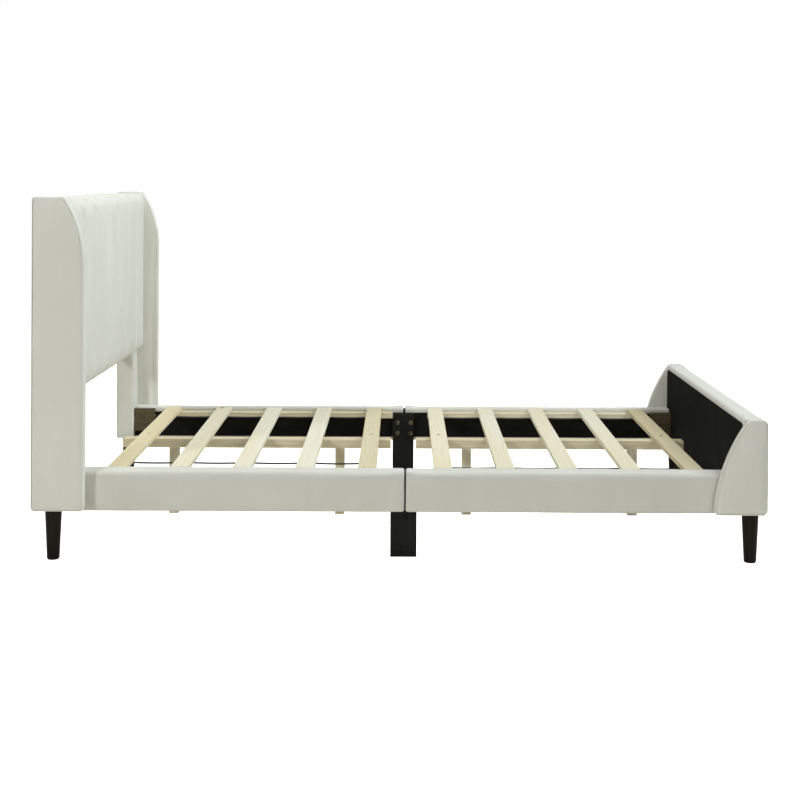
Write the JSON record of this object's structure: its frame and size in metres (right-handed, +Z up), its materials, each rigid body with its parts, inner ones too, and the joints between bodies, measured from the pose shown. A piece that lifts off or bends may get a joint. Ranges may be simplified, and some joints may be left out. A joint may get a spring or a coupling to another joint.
{
  "type": "upholstered headboard bed",
  "caption": "Twin platform bed with a channelled upholstered wingback headboard, low winged footboard, side rails and pine slat decks.",
  "frame": {"origin": "on the floor under the middle of the bed's overall box", "axes": "+X from the headboard to the footboard, +Y to the sleeper's left, +Z up"},
  "size_m": [2.114, 1.184, 1.05],
  "materials": {
    "cream_fabric": "soft woven upholstery over foam",
    "black_lining": "non-woven lining",
    "black_webbing": "woven ribbon",
    "softwood": "sawn",
    "pine": "planed, unfinished",
    "brown_wood": "stained",
    "dark_wood": "satin dark brown stain",
    "black_board": "satin black paint",
    "bronze_bolt": "bronze plated",
    "screw_steel": "zinc plated",
    "black_plastic": "moulded"
  },
  "bodies": {
    "frame": {"corner_blocks_foot": "brown_wood", "corner_blocks_head": "brown_wood", "corner_bolts": "bronze_bolt", "foot_leg_left": "dark_wood", "foot_leg_right": "dark_wood", "foot_wing_core_left": "softwood", "foot_wing_core_right": "softwood", "foot_wing_cover_left": "cream_fabric", "foot_wing_cover_right": "cream_fabric", "footboard_core": "softwood", "footboard_cover": "cream_fabric", "footboard_lining": "black_lining", "head_leg_left": "dark_wood", "head_leg_right": "dark_wood", "head_post_cover_left": "cream_fabric", "head_post_cover_right": "cream_fabric", "head_wing_core_left": "softwood", "head_wing_core_right": "softwood", "head_wing_cover_left": "cream_fabric", "head_wing_cover_right": "cream_fabric", "headboard_back_cover": "black_lining", "headboard_core": "softwood", "headboard_pad": "cream_fabric", "leg_glides": "black_plastic", "leg_hanger_bolts": "screw_steel", "middle_leg_bolts": "bronze_bolt", "middle_leg_left": "black_board", "middle_leg_right": "black_board", "rail_cleat_left_foot": "pine", "rail_cleat_left_head": "pine", "rail_cleat_right_foot": "pine", "rail_cleat_right_head": "pine", "rail_core_left_foot": "softwood", "rail_core_left_head": "softwood", "rail_core_right_foot": "softwood", "rail_core_right_head": "softwood", "rail_cover_left_foot": "cream_fabric", "rail_cover_left_head": "cream_fabric", "rail_cover_right_foot": "cream_fabric", "rail_cover_right_head": "cream_fabric", "rail_lining_left": "black_lining", "rail_lining_right": "black_lining"},
    "slat_deck_head": {"slat_01": "pine", "slat_02": "pine", "slat_03": "pine", "slat_04": "pine", "slat_05": "pine", "centre_beam_head": "pine", "centre_legs_head": "pine", "deck_straps_head": "black_webbing", "deck_screws_head": "screw_steel"},
    "slat_deck_foot": {"slat_06": "pine", "slat_07": "pine", "slat_08": "pine", "slat_09": "pine", "slat_10": "pine", "centre_beam_foot": "pine", "centre_legs_foot": "pine", "deck_straps_foot": "black_webbing", "deck_screws_foot": "screw_steel"}
  },
  "joints": [
    {"name": "head_deck_lift", "type": "slide", "parent": "frame", "child": "slat_deck_head", "axis": [0, 0, 1], "range_m": [0, 0.4]},
    {"name": "foot_deck_lift", "type": "slide", "parent": "frame", "child": "slat_deck_foot", "axis": [0, 0, 1], "range_m": [0, 0.4]}
  ]
}
